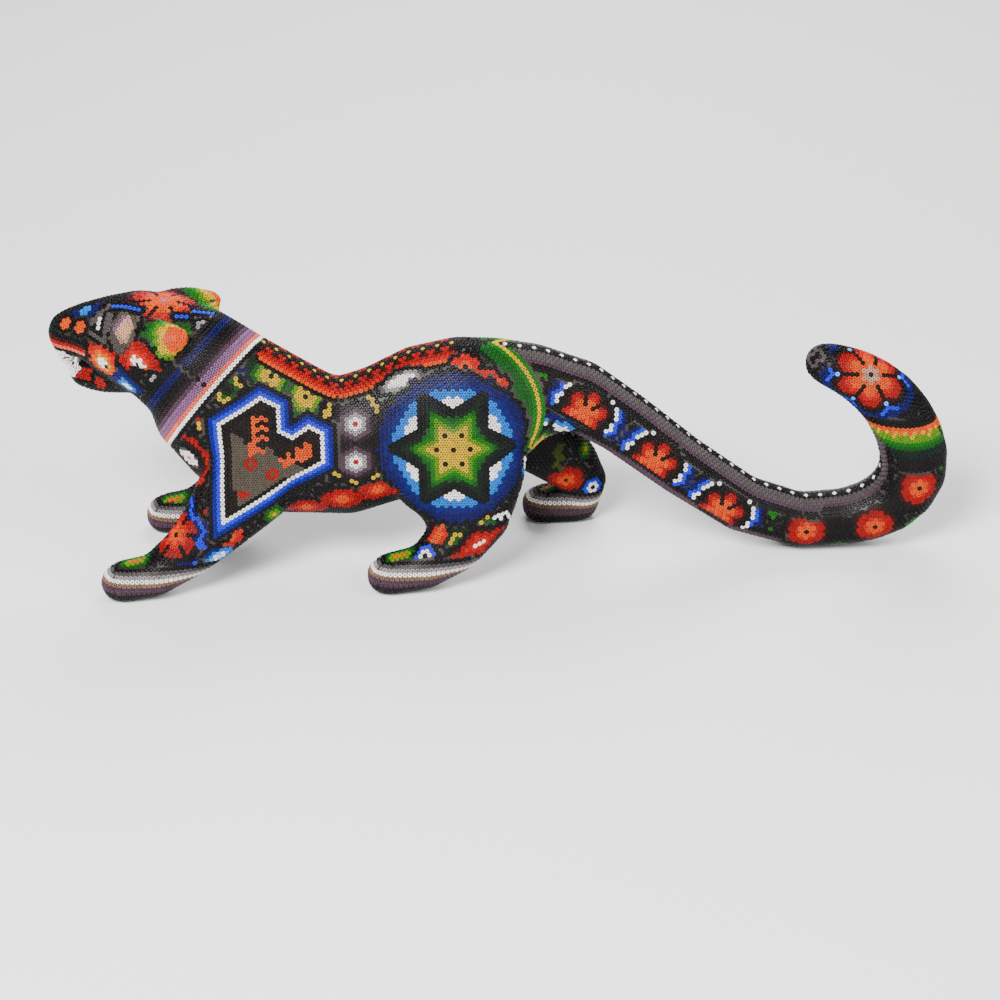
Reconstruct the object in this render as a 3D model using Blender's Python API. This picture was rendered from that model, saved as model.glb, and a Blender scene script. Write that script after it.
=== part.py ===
"""Beaded big cat: carved wooden cores, a beeswax coat over them and beadwork skins over the wax.

The animal faces -X and its tail runs to +X. The origin is on the floor under its middle, +Z up.
"""

import math

import bmesh
import bpy
from mathutils import Vector

MM = 0.001

# ---- driving dimensions, in millimetres -------------------------------------------------------
FIGURE_LENGTH = 400.0       # nose to the back of the tail's bend
FIGURE_HEIGHT = 130.0       # floor to the crown of the head
BEAD_SKIN = 1.6             # one layer of seed beads, lying flat with their holes outwards
WAX_COAT = 1.0              # beeswax under the beads
CLEARANCE = 0.3             # between two pieces that touch
LEG_SEAT = 9.0              # from the middle plane to the flat that each leg is glued to
HEAD_TURN = -18.0           # degrees that the head looks to its left, so it looks right

NECK_DOWEL = (8.0, 30.0)    # diameter, length
TAIL_DOWEL = (7.0, 26.0)
TAIL_PIECE_DOWEL = (6.0, 22.0)
LEG_DOWEL = (6.0, 14.0)
EAR_PEG = (2.4, 8.0)
EAR_PEG_SINK = 0.45         # share of the peg that is on the head's side of the ear's middle

# ---- profile of the carvings: x, y, z of the centre, half width, half height -------------------
# (drawn for a figure 400 long and 130 high, and stretched to the driving dimensions)
DRAWN_LENGTH = 400.0
DRAWN_HEIGHT = 130.0

SPINE = [
    (-139.0, 0.0, 100.5, 24.0, 27.5),
    (-128.5, 0.0, 88.0, 25.5, 32.5),
    (-115.0, 0.0, 73.5, 27.0, 36.0),
    (-93.0, 0.0, 60.5, 27.5, 35.5),
    (-71.0, 0.0, 57.5, 26.0, 32.5),
    (-51.5, 0.0, 63.5, 25.0, 32.0),
    (-33.0, 0.0, 70.5, 26.0, 34.5),
    (-14.0, 0.0, 75.0, 25.5, 34.0),
    (3.0, 0.0, 79.5, 22.5, 28.5),
    (17.0, 0.0, 82.0, 18.5, 21.5),
    (34.0, 0.0, 79.0, 16.0, 16.5),
    (53.0, 0.0, 65.5, 14.8, 14.8),
    (80.0, 0.0, 43.0, 14.0, 14.0),
    (108.0, 0.0, 22.5, 13.4, 13.4),
    (134.0, 0.0, 13.4, 12.9, 12.9),
    (156.0, 0.0, 14.4, 13.2, 13.2),
    (175.0, 0.0, 21.5, 14.8, 14.8),
    (185.0, 0.0, 37.0, 15.8, 15.8),
    (182.0, 0.0, 56.5, 15.2, 15.2),
    (171.0, 0.0, 74.5, 13.8, 13.8),
    (156.0, 0.0, 86.5, 11.8, 11.8),
    (142.5, 0.0, 92.5, 9.6, 9.6),
]
TAIL_ROOT = 9               # rows of SPINE at which the carvings are divided
TAIL_SEAMS = (12, 15)
NECK_LINE = Vector((0.77, 0.0, -0.64))  # the neck's joint is square to this

CRANIUM = [
    (-139.0, 0.0, 100.5, 24.0, 27.5),
    (-152.5, 0.0, 107.0, 24.5, 24.5),
    (-166.0, 0.0, 109.5, 22.0, 20.8),
    (-178.0, 0.0, 110.0, 17.5, 16.0),
    (-187.0, 0.0, 110.0, 13.5, 12.2),
    (-192.5, 0.0, 109.0, 12.5, 10.2),
]
JAW = [
    (-160.0, 0.0, 95.5, 14.0, 11.5),
    (-169.5, 0.0, 92.5, 13.0, 9.8),
    (-179.0, 0.0, 89.5, 10.5, 7.8),
    (-187.0, 0.0, 89.0, 8.5, 6.2),
]
EAR = [
    (-151.0, 20.0, 117.5, 5.5, 12.0),
    (-141.0, 20.5, 120.0, 5.5, 10.0),
    (-133.5, 19.5, 122.0, 4.4, 5.2),
]
EAR_LEAN = Vector((0.0, 0.80, 0.60))    # outwards from the left side of the head

# legs are drawn on the left side, y positive outwards
FORE_LEG_FORWARD = [
    (-101.0, 11.0, 81.0, 9.0, 16.0),
    (-105.0, 16.5, 67.0, 13.0, 24.0),
    (-115.0, 20.0, 48.5, 13.0, 21.5),
    (-131.0, 23.5, 30.0, 11.5, 15.0),
    (-143.0, 26.5, 19.0, 10.5, 12.0),
    (-157.0, 28.5, 9.8, 11.0, 9.5),
    (-172.0, 29.0, 7.2, 11.0, 8.6),
]
FORE_LEG_BACK = [
    (-98.0, 11.0, 81.0, 9.0, 16.0),
    (-100.0, 16.5, 67.0, 13.0, 22.0),
    (-107.0, 20.5, 48.5, 13.0, 18.0),
    (-118.0, 25.0, 30.0, 11.5, 14.0),
    (-129.0, 29.0, 18.5, 10.5, 12.0),
    (-142.0, 31.0, 9.8, 11.0, 9.5),
    (-156.0, 31.5, 7.2, 11.0, 8.6),
]
HIND_LEG_FORWARD = [
    (-23.0, 12.0, 83.0, 9.0, 19.0),
    (-22.5, 15.0, 73.0, 13.5, 29.0),
    (-22.5, 17.0, 58.0, 14.5, 32.5),
    (-20.5, 20.0, 42.5, 14.0, 28.0),
    (-19.5, 23.5, 29.5, 12.5, 20.0),
    (-25.5, 26.5, 19.0, 11.0, 14.0),
    (-38.0, 28.5, 10.2, 11.0, 10.2),
    (-54.5, 29.0, 7.2, 11.0, 8.6),
]
HIND_LEG_BACK = [
    (-8.0, 12.0, 83.0, 9.0, 19.0),
    (-3.0, 15.0, 72.0, 13.5, 26.5),
    (8.0, 17.5, 58.0, 14.5, 24.0),
    (21.5, 21.5, 43.5, 13.5, 17.0),
    (32.0, 26.0, 30.5, 11.5, 13.8),
    (38.0, 29.0, 19.5, 10.5, 11.5),
    (36.5, 30.0, 11.0, 10.0, 9.5),
]
HIND_FOOT_BACK = [
    (36.5, 31.0, 7.8, 10.0, 8.8),
    (27.0, 31.5, 8.0, 11.0, 9.4),
    (18.0, 31.5, 7.2, 11.0, 8.6),
]

LEGS = {
    "fore_left_leg": (FORE_LEG_FORWARD, None, True),
    "fore_right_leg": (FORE_LEG_BACK, None, False),
    "hind_left_leg": (HIND_LEG_FORWARD, None, True),
    "hind_right_leg": (HIND_LEG_BACK, HIND_FOOT_BACK, False),
}
SPINE_NAMES = ("torso", "tail_base", "tail_middle", "tail_hook")
SEATED_IN = {"torso": tuple(LEGS), "tail_base": ("hind_left_leg", "hind_right_leg")}

# the fangs stand in the upper and the lower lip
UPPER_FANG = [
    (-193.0, 7.0, 104.5, 3.1, 3.1),
    (-194.0, 7.0, 99.5, 2.9, 2.9),
    (-194.5, 7.0, 97.0, 2.1, 2.1),
]
LOWER_FANG = [
    (-190.0, 4.8, 89.5, 3.0, 3.0),
    (-191.0, 4.8, 94.0, 2.7, 2.7),
    (-191.5, 4.8, 96.2, 1.9, 1.9),
]

BODY_SIDES = 18
LIMB_SIDES = 12
SMALL_SIDES = 10
SMOOTH_STEPS = 2            # on the spine and the tail
DOME_ANGLES = (42.0, 76.0)
INNER_OVERRUN = 6.0         # how far a hollow's cutter runs out past the open end that it makes

# depths below the finished surface of each layer
WAX_TOP = BEAD_SKIN + CLEARANCE
WAX_BOTTOM = WAX_TOP + WAX_COAT
CORE_TOP = WAX_BOTTOM + CLEARANCE

MATERIALS = {
    "wood": ((0.45, 0.28, 0.14, 1.0), 0.6),
    "dowel": ((0.62, 0.45, 0.26, 1.0), 0.55),
    "beeswax": ((0.36, 0.20, 0.07, 1.0), 0.45),
    "beadwork": ((0.03, 0.03, 0.04, 1.0), 0.25),
    "white_beads": ((0.85, 0.85, 0.83, 1.0), 0.25),
}


class Station:
    """One cross-section of a carving: an ellipse across the limb's line."""

    def __init__(self, centre, width, height):
        self.centre = centre
        self.width = width
        self.height = height
        self.along = None
        self.side = None
        self.up = None


def stretched(point):
    """A drawn point, at the figure's real length and height, in millimetres."""
    return Vector((point[0] * FIGURE_LENGTH / DRAWN_LENGTH, point[1],
                   point[2] * FIGURE_HEIGHT / DRAWN_HEIGHT))


def smoothed(rows, steps):
    """More stations between the drawn ones, on a Catmull-Rom curve through them."""
    values = [list(stretched(row)) + list(row[3:]) for row in rows]
    finer = []
    for i in range(len(values) - 1):
        before, here = values[max(i - 1, 0)], values[i]
        after, beyond = values[i + 1], values[min(i + 2, len(values) - 1)]
        for k in range(steps):
            t = k / steps
            finer.append([0.5 * (2 * b + (c - a) * t + (2 * a - 5 * b + 4 * c - d) * t * t
                                 + (3 * b - a - 3 * c + d) * t ** 3)
                          for a, b, c, d in zip(before, here, after, beyond)])
    finer.append(values[-1])
    return finer


def line_of(rows, side=Vector((0.0, 1.0, 0.0)), first=None, steps=1):
    """Stations along a carving, each square to the line through their centres.

    `first`, where it is given, is the direction that the first station is square to.
    """
    stations = [Station(Vector(v[:3]), v[3], v[4]) for v in smoothed(rows, steps)]
    for i, station in enumerate(stations):
        ahead = stations[min(i + 1, len(stations) - 1)].centre
        behind = stations[max(i - 1, 0)].centre
        station.along = (ahead - behind).normalized()
        if i == 0 and first is not None:
            station.along = first.normalized()
        station.side = (side - station.along * side.dot(station.along)).normalized()
        station.up = station.along.cross(station.side)
    return stations


def turned(stations, pivot, degrees):
    """The same stations turned about a vertical line through the pivot."""
    angle = math.radians(degrees)

    def spin(v):
        return Vector((v.x * math.cos(angle) - v.y * math.sin(angle),
                       v.x * math.sin(angle) + v.y * math.cos(angle), v.z))

    for station in stations:
        if (station.centre - pivot).length < CLEARANCE:
            continue
        station.centre = pivot + spin(station.centre - pivot)
        station.along, station.side, station.up = (spin(v) for v in
                                                   (station.along, station.side, station.up))
    return stations


def mirrored(stations):
    """The stations on the other side of the middle plane."""
    flip = Vector((1.0, -1.0, 1.0))
    copies = []
    for station in stations:
        copy = Station(station.centre * flip, station.width, station.height)
        copy.along = station.along * flip
        copy.side = station.side * flip
        copy.up = copy.along.cross(copy.side)
        copies.append(copy)
    return copies


class Carving:
    """A limb's shape, which its core, its wax coat and its bead skin are all taken from."""

    def __init__(self, stations, start, end, sides, seat=None, mirror=False):
        self.stations = stations
        self.start = start          # "flat" where another carving joins on, otherwise "dome"
        self.end = end
        self.sides = sides
        self.seat = seat            # distance of a leg's glued flat from the middle plane
        self.left = -1.0 if mirror else 1.0

    def rings(self, grow, overrun):
        """Rings of points, the surface moved outwards by `grow` (inwards when negative)."""
        rings = []
        ends = ((0, self.start, -1.0), (len(self.stations) - 1, self.end, 1.0))
        for i, station in enumerate(self.stations):
            rings.append(self.ring(station, grow, Vector((0.0, 0.0, 0.0)), 1.0))
        for index, kind, sign in ends:
            station = self.stations[index]
            if kind == "flat":
                extra = [] if overrun == 0.0 else [self.ring(
                    station, grow, station.along * sign * overrun, 1.0)]
            else:
                depth = min(station.width, station.height) + grow
                extra = [self.ring(station, grow, station.along * sign * depth
                                   * math.sin(math.radians(a)), math.cos(math.radians(a)))
                         for a in DOME_ANGLES]
            rings = rings + extra if sign > 0 else extra[::-1] + rings
        return rings

    def ring(self, station, grow, shift, share):
        points = []
        for k in range(self.sides):
            turn = 2.0 * math.pi * k / self.sides
            point = (station.centre + shift
                     + station.side * (station.width + grow) * share * math.cos(turn)
                     + station.up * (station.height + grow) * share * math.sin(turn))
            points.append(point)
        return points

    def mesh(self, name, grow=0.0, overrun=0.0):
        """A closed mesh of the shape."""
        bm = bmesh.new()
        rings = [[bm.verts.new(p * MM) for p in ring] for ring in self.rings(grow, overrun)]
        for here, after in zip(rings, rings[1:]):
            for k in range(self.sides):
                n = (k + 1) % self.sides
                bm.faces.new((here[k], here[n], after[n]))
                bm.faces.new((here[k], after[n], after[k]))
        bm.faces.new(rings[0][::-1])
        bm.faces.new(rings[-1])
        if self.seat is not None:
            trim(bm, Vector((0.0, self.left * (self.seat - grow), 0.0)),
                 Vector((0.0, -self.left, 0.0)))
            trim(bm, Vector((0.0, 0.0, -grow)), Vector((0.0, 0.0, -1.0)))
        bmesh.ops.recalc_face_normals(bm, faces=bm.faces)
        mesh = bpy.data.meshes.new(name)
        bm.to_mesh(mesh)
        bm.free()
        return mesh


def trim(bm, point, outwards):
    """Cuts a closed mesh off flat at a plane, in millimetres, and closes it again."""
    cut = bmesh.ops.bisect_plane(bm, geom=[*bm.verts, *bm.edges, *bm.faces],
                                 plane_co=point * MM, plane_no=outwards, clear_outer=True)
    rim = [item for item in cut["geom_cut"] if isinstance(item, bmesh.types.BMEdge)]
    if rim:
        bmesh.ops.holes_fill(bm, edges=rim, sides=0)


def link(name, mesh, material=None):
    """A new object in the scene, shaded smooth except across its cut edges."""
    mesh.shade_smooth()
    mesh.set_sharp_from_angle(angle=math.radians(40.0))
    thing = bpy.data.objects.new(name, mesh)
    bpy.context.scene.collection.objects.link(thing)
    if material is not None:
        mesh.materials.append(material)
    return thing


def guide(name, mesh):
    """A cutter, kept in the file but left out of the model."""
    thing = link(name, mesh)
    thing.hide_render = True
    thing.display_type = "WIRE"
    return thing


def boolean(thing, cutter, operation="DIFFERENCE"):
    step = thing.modifiers.new(cutter.name, "BOOLEAN")
    step.operation = operation
    step.solver = "EXACT"
    step.object = cutter


def rod(name, centre, direction, diameter, length, sides=16):
    """A closed cylinder about a centre, in millimetres."""
    bm = bmesh.new()
    bmesh.ops.create_cone(bm, cap_ends=True, segments=sides, radius1=diameter / 2 * MM,
                          radius2=diameter / 2 * MM, depth=length * MM)
    turn = direction.to_track_quat("Z", "Y").to_matrix()
    bmesh.ops.transform(bm, matrix=turn.to_4x4(), verts=bm.verts)
    bmesh.ops.translate(bm, vec=centre * MM, verts=bm.verts)
    mesh = bpy.data.meshes.new(name)
    bm.to_mesh(mesh)
    bm.free()
    return mesh


def dowel(name, centre, direction, size, material, cores):
    """A dowel and its bore, which is longer and wider by the clearance, in each of the cores."""
    diameter, length = size
    link(name, rod(name, centre, direction, diameter, length), material)
    bore = guide(name + "_bore", rod(name + "_bore", centre, direction,
                                     diameter + 2 * CLEARANCE, length + 2 * CLEARANCE))
    for core in cores:
        boolean(core, bore)


def clear_scene():
    for thing in list(bpy.data.objects):
        bpy.data.objects.remove(thing, do_unlink=True)


def make_materials():
    made = {}
    for name, (colour, roughness) in MATERIALS.items():
        material = bpy.data.materials.new(name)
        material.use_nodes = True
        shader = material.node_tree.nodes["Principled BSDF"]
        shader.inputs["Base Color"].default_value = colour
        shader.inputs["Roughness"].default_value = roughness
        shader.inputs["Metallic"].default_value = 0.0
        material.diffuse_color = colour
        made[name] = material
    return made


def end_gap(stations, at_start, at_end):
    """The stations with their flat ends drawn back by half the clearance."""
    for station, here in ((stations[0], at_start), (stations[-1], at_end)):
        if here:
            sign = 1.0 if station is stations[0] else -1.0
            station.centre = station.centre + station.along * sign * CLEARANCE / 2
    return stations


def piece_of(stations, first, last, stride=1):
    """Copies of some of the stations, for one carving of a chain."""
    chosen = []
    for station in stations[first:last + 1:stride]:
        copy = Station(station.centre.copy(), station.width, station.height)
        copy.along, copy.side, copy.up = station.along, station.side, station.up
        chosen.append(copy)
    return chosen


def layers(name, shape, materials, stops=(), pockets=(), extra=None):
    """The core, wax coat and bead skin of one carving; returns the three by layer.

    The coats end at the surfaces of the `stops`, which the core runs on into. All three make
    room for the `pockets`, which seat in this carving. `extra` is a second shape that is part
    of the same carving, as the lower jaw is of the head.
    """
    made = {}
    plan = (("core", "wood", -CORE_TOP, None), ("wax", "beeswax", -WAX_TOP, -WAX_BOTTOM),
            ("beads", "beadwork", 0.0, -BEAD_SKIN))
    for layer, material, outer, inner in plan:
        full = f"{name}_{layer}"
        thing = link(full, shape.mesh(full, outer), materials[material])
        if extra is not None:
            boolean(thing, guide(f"{full}_more", extra.mesh("more", outer)), "UNION")
        for other in (pockets if inner is None else (*pockets, *stops)):
            cutter = other.mesh("room", outer + CLEARANCE, INNER_OVERRUN)
            boolean(thing, guide(f"{full}_room", cutter))
        if inner is not None:
            inside = guide(f"{full}_inside", shape.mesh("inside", inner, INNER_OVERRUN))
            if extra is not None:
                boolean(inside, guide(f"{full}_inside_more", extra.mesh("more", inner)), "UNION")
            boolean(thing, inside)
        made[layer] = thing
    return made


def spine_shapes():
    """The line of the spine, and the shapes of the torso and the tail's three carvings."""
    line = line_of(SPINE, first=NECK_LINE, steps=SMOOTH_STEPS)
    marks = [0, TAIL_ROOT, *TAIL_SEAMS, len(SPINE) - 1]
    shapes = {}
    for k, name in enumerate(SPINE_NAMES):
        last = name == SPINE_NAMES[-1]
        stations = piece_of(line, marks[k] * SMOOTH_STEPS, marks[k + 1] * SMOOTH_STEPS,
                            1 if last else SMOOTH_STEPS)
        end_gap(stations, True, not last)
        shapes[name] = Carving(stations, "flat", "dome" if last else "flat",
                               BODY_SIDES if name == "torso" else LIMB_SIDES)
    joints = [line[mark * SMOOTH_STEPS] for mark in marks[:-1]]
    return joints, shapes


def limb(rows, left):
    """A leg's shape; the rows are drawn on +Y, which is the animal's right."""
    if rows is None:
        return None
    stations = mirrored(line_of(rows)) if left else line_of(rows)
    return Carving(stations, "dome", "dome", LIMB_SIDES, seat=LEG_SEAT, mirror=left)


def build_spine(materials, legs):
    """The torso with its four pockets, and the three carvings of the tail."""
    joints, shapes = spine_shapes()
    cores = []
    for name, shape in shapes.items():
        pockets = [legs[leg][0] for leg in SEATED_IN.get(name, ())]
        cores.append(layers(name, shape, materials, pockets=pockets)["core"])
    sizes = (TAIL_DOWEL, TAIL_PIECE_DOWEL, TAIL_PIECE_DOWEL)
    names = ("tail_dowel", "tail_middle_dowel", "tail_hook_dowel")
    for k, (name, size) in enumerate(zip(names, sizes)):
        joint = joints[k + 1]
        dowel(name, joint.centre, joint.along, size, materials["dowel"], cores[k:k + 2])
    return joints[0], shapes, cores[0]


def build_head(neck, torso_core, materials):
    """The head with its lower jaw, its two ears and its four fangs."""
    cranium = line_of(CRANIUM, first=-NECK_LINE)
    pivot = cranium[0].centre.copy()

    def on_head(rows, left, side=Vector((0.0, 1.0, 0.0))):
        stations = line_of(rows, side)
        return turned(mirrored(stations) if left else stations, pivot, HEAD_TURN)

    end_gap(turned(cranium, pivot, HEAD_TURN), True, False)
    head = Carving(cranium, "flat", "dome", BODY_SIDES)
    chin = Carving(on_head(JAW, False), "dome", "dome", LIMB_SIDES)
    sides = {"left": True, "right": False}
    ears = {side: Carving(on_head(EAR, left, EAR_LEAN), "dome", "dome", SMALL_SIDES)
            for side, left in sides.items()}
    made = layers("head", head, materials, pockets=ears.values(), extra=chin)
    dowel("neck_dowel", neck.centre, neck.along, NECK_DOWEL, materials["dowel"],
          [torso_core, made["core"]])
    for side, ear in ears.items():
        base = ear.stations[0]
        ear_made = layers(f"{side}_ear", ear, materials, stops=[head])
        inwards = Vector((base.centre.x, 0.0, head.stations[2].centre.z)) - base.centre
        peg_at = base.centre + inwards.normalized() * EAR_PEG[1] * EAR_PEG_SINK
        dowel(f"{side}_ear_peg", peg_at, inwards, EAR_PEG, materials["dowel"],
              [made["core"], ear_made["core"]])
    for kind, rows in (("upper", UPPER_FANG), ("lower", LOWER_FANG)):
        for side, left in sides.items():
            shape = Carving(on_head(rows, left), "dome", "dome", SMALL_SIDES)
            name = f"{kind}_{side}_fang"
            fang = link(name, shape.mesh(name), materials["white_beads"])
            for host in (head, chin):
                boolean(fang, guide(f"{name}_seat", host.mesh("seat", CLEARANCE)))


def build_legs(legs, shapes, torso_core, materials):
    """Four legs, each glued on its flat and held by a dowel through it."""
    for name, (shape, foot, left) in legs.items():
        hosts = [shapes[host] for host, seated in SEATED_IN.items() if name in seated]
        made = layers(name, shape, materials, stops=hosts, extra=foot)
        hip = shape.stations[1].centre
        side = -1.0 if left else 1.0
        centre = Vector((hip.x, side * (LEG_SEAT + CORE_TOP), hip.z))
        dowel(f"{name}_dowel", centre, Vector((0.0, side, 0.0)), LEG_DOWEL, materials["dowel"],
              [torso_core, made["core"]])


def stand_on_origin():
    """Moves everything so that the origin is under the middle of the figure, on the floor."""
    bpy.context.view_layer.update()
    scene = bpy.context.evaluated_depsgraph_get()
    corners = [thing.matrix_world @ Vector(corner) for thing in bpy.data.objects
               if not thing.hide_render for corner in thing.evaluated_get(scene).bound_box]
    low = [min(corner[i] for corner in corners) for i in range(3)]
    high = [max(corner[i] for corner in corners) for i in range(3)]
    middle = Vector(((low[0] + high[0]) / 2, (low[1] + high[1]) / 2, low[2]))
    for thing in bpy.data.objects:
        thing.location = thing.location - middle


def main():
    clear_scene()
    materials = make_materials()
    legs = {name: (limb(rows, left), limb(foot, left), left)
            for name, (rows, foot, left) in LEGS.items()}
    neck, shapes, torso_core = build_spine(materials, legs)
    build_head(neck, torso_core, materials)
    build_legs(legs, shapes, torso_core, materials)
    stand_on_origin()


main()
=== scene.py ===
"""Looks of the beaded big cat: a bed of wax, and one layer of seed beads packed over it."""

import heapq
import math
import random

import bmesh
import bpy
import numpy as np
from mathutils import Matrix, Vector
from mathutils.bvhtree import BVHTree


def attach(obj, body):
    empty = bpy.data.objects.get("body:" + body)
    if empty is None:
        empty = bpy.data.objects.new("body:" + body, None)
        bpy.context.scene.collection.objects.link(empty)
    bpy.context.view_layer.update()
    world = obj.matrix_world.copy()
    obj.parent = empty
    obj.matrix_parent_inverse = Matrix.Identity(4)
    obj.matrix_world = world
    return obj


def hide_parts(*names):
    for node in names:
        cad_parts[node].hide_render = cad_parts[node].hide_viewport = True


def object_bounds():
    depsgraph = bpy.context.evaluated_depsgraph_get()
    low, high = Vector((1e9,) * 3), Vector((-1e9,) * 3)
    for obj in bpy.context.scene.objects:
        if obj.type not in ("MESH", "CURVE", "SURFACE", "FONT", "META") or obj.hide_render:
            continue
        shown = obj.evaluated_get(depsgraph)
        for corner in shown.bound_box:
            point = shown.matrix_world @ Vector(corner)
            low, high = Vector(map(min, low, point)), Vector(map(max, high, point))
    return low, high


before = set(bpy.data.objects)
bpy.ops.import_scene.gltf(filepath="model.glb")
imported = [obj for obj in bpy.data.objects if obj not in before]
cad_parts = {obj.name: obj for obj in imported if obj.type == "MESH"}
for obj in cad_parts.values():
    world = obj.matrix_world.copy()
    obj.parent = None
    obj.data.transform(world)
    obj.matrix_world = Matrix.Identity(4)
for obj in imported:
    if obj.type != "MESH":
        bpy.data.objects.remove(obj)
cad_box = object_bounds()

MM = 0.001
PITCH = 2.15 * MM           # centre to centre of two touching beads
BEAD_HEIGHT = 1.45 * MM
BEAD_HOLE = 0.36            # hole's share of the bead's width
SINK = 0.80 * MM            # from the bead's top down to the wax around it
VOXEL = 1.3 * MM            # size of the cells that the carvings are joined in
SWELL = 0.25 * MM           # how far each piece is swollen first, so that they all meet
EVENING = 28                # rounds of smoothing over the joined surface
PIECE_LIMIT = 1600          # most beads in one piece
SEED = 11
ROW = math.sqrt(3.0) / 2.0  # distance between two rows of beads, in pitches

SKINS = [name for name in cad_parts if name.endswith("_beads")]
FANGS = [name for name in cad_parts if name.endswith("_fang")]


# ---- the surface that the beads lie on ---------------------------------------------------------

def cad_copy(name, swell):
    """A CAD node's mesh as bmesh data, swollen a little so that it runs into its neighbours."""
    source = bpy.data.objects[name]
    bm = bmesh.new()
    bm.from_mesh(source.data)
    bm.transform(source.matrix_world)
    bm.normal_update()
    for vert in bm.verts:
        vert.co += vert.normal * swell
    return bm


def one_surface(names):
    """One closed outer surface around all the named nodes, rounded where they meet."""
    whole = bmesh.new()
    for name in names:
        part = cad_copy(name, SWELL)
        mesh = bpy.data.meshes.new("copy")
        part.to_mesh(mesh)
        part.free()
        whole.from_mesh(mesh)
        bpy.data.meshes.remove(mesh)
    mesh = bpy.data.meshes.new("surface")
    whole.to_mesh(mesh)
    whole.free()
    thing = bpy.data.objects.new("surface", mesh)
    bpy.context.scene.collection.objects.link(thing)
    remesh = thing.modifiers.new("remesh", "REMESH")
    remesh.mode = "VOXEL"
    remesh.voxel_size = VOXEL
    result = bpy.data.meshes.new_from_object(
        thing.evaluated_get(bpy.context.evaluated_depsgraph_get()))
    bpy.data.objects.remove(thing, do_unlink=True)
    return evened(largest_island(result))


def largest_island(mesh):
    """Only the biggest connected surface of a mesh, as a bmesh with normals outwards."""
    bm = bmesh.new()
    bm.from_mesh(mesh)
    seen = set()
    best = []
    for start in bm.verts:
        if start in seen:
            continue
        island, stack = [], [start]
        seen.add(start)
        while stack:
            vert = stack.pop()
            island.append(vert)
            for edge in vert.link_edges:
                other = edge.other_vert(vert)
                if other not in seen:
                    seen.add(other)
                    stack.append(other)
        if len(island) > len(best):
            best = island
    keep = set(best)
    bmesh.ops.delete(bm, geom=[v for v in bm.verts if v not in keep], context="VERTS")
    bmesh.ops.recalc_face_normals(bm, faces=bm.faces)
    return bm


def evened(bm):
    """Rounds off the carving's facets, and gives back what that takes from the whole form."""
    bm.verts.index_update()
    edges = np.array([[e.verts[0].index, e.verts[1].index] for e in bm.edges])
    places = np.array([v.co for v in bm.verts])
    ends = np.concatenate([edges, edges[:, ::-1]])
    share = np.bincount(ends[:, 0], minlength=len(places))[:, None]

    def smooth(values):
        for turn in range(EVENING):
            sums = [np.bincount(ends[:, 0], weights=values[ends[:, 1], k], minlength=len(values))
                    for k in range(3)]
            values = 0.5 * values + 0.5 * np.stack(sums, axis=1) / share
        return values

    smoothed = smooth(places)
    smoothed -= smooth(smoothed - places)
    for vert, place in zip(bm.verts, smoothed):
        vert.co = place
    return bm


class Surface:
    """A surface to project on, with smooth normals."""

    def __init__(self, bm, shift):
        bm.normal_update()
        for vert, normal in [(v, v.normal.copy()) for v in bm.verts]:
            vert.co += normal * shift
        bm.normal_update()
        self.normals = [v.normal.copy() for v in bm.verts]
        self.places = [v.co.copy() for v in bm.verts]
        self.faces = [[v.index for v in f.verts] for f in bm.faces]
        self.tree = BVHTree.FromPolygons([tuple(p) for p in self.places], self.faces)

    def put(self, point):
        """The nearest point on the surface, and the smooth normal there."""
        place, flat, index, distance = self.tree.find_nearest(point)
        normal = Vector((0.0, 0.0, 0.0))
        for k in self.faces[index]:
            gap = (self.places[k] - place).length + 0.1 * MM
            normal += self.normals[k] / gap
        return place, normal.normalized()


# ---- packing the beads -------------------------------------------------------------------------

# The steps to the beads about a motif's middle, nearest first, to start from when that is taken.
AROUND = sorted(((a, b) for a in range(-5, 6) for b in range(-5, 6)),
                key=lambda step: math.hypot(step[0] + 0.5 * step[1], 0.866 * step[1]))


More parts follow.
